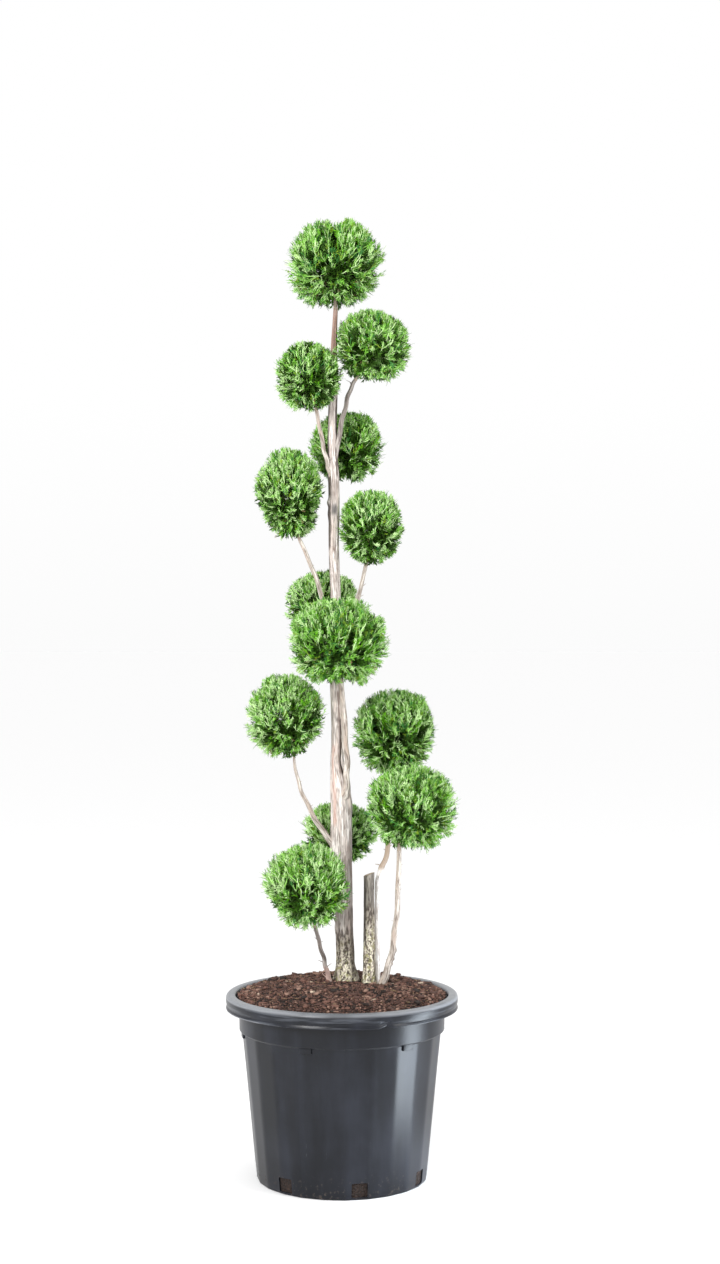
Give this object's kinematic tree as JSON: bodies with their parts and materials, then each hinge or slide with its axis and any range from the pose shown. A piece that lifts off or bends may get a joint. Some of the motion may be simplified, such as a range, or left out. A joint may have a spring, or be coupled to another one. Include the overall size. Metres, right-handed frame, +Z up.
{
  "type": "potted thuja",
  "caption": "Conifer topiary in a round nursery pot, with clipped balls of foliage on a bare trunk and boughs.",
  "frame": {"origin": "centre of the pot's flat underside, at ground level", "axes": "+Z up along the pot's axis, -Y towards the front of the plant, +X to its right as seen from the front"},
  "size_m": [0.4264, 0.4264, 1.766],
  "materials": {
    "pot": "satin",
    "soil": "matte",
    "bark": "matte",
    "foliage": "matte"
  },
  "bodies": {
    "root": {"pot": "pot", "pot_lip": "pot", "soil": "soil", "trunk": "bark", "stub_stem": "bark", "bough_02": "bark", "bough_03": "bark", "bough_04": "bark", "bough_05": "bark", "bough_06": "bark", "bough_07": "bark", "bough_08": "bark", "bough_09": "bark", "bough_10": "bark", "bough_11": "bark", "bough_12": "bark", "bough_13": "bark", "foliage_01": "foliage", "foliage_02": "foliage", "foliage_03": "foliage", "foliage_04": "foliage", "foliage_05": "foliage", "foliage_06": "foliage", "foliage_07": "foliage", "foliage_08": "foliage", "foliage_09": "foliage", "foliage_10": "foliage", "foliage_11": "foliage", "foliage_12": "foliage", "foliage_13": "foliage"}
  },
  "joints": []
}
